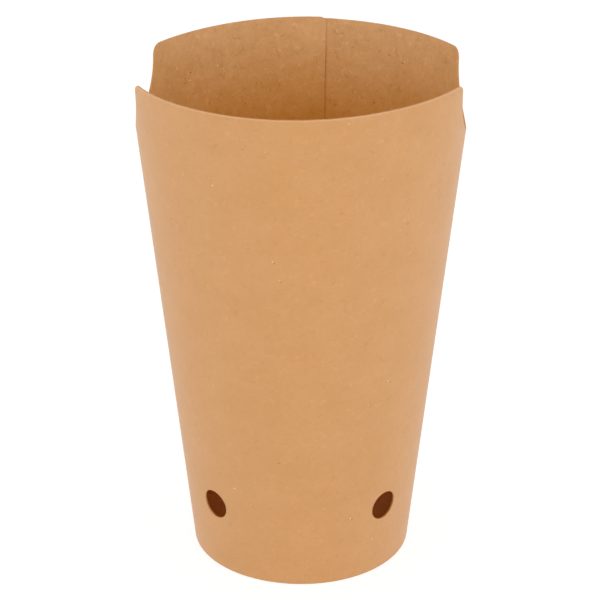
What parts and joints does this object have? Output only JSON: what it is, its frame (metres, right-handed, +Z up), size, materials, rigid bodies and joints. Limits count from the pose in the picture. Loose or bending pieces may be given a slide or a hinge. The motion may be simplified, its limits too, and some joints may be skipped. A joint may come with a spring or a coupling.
{
  "type": "paper fry cup with lid flaps",
  "caption": "Tapered kraft board fry cup, open at the top, with front and back lid flaps between rounded side notches, vent holes near the base and a recessed bottom disc.",
  "frame": {"origin": "on the cup's axis at the table", "axes": "+Z up along the axis, -Y towards the front lid flap, +Y towards the glued lap at the back, X through the two notches"},
  "size_m": [0.0852, 0.0891, 0.1374],
  "materials": {
    "kraft_board": "matte"
  },
  "bodies": {
    "root": {"cup_wall": "kraft_board", "bottom_disc": "kraft_board"}
  },
  "joints": []
}
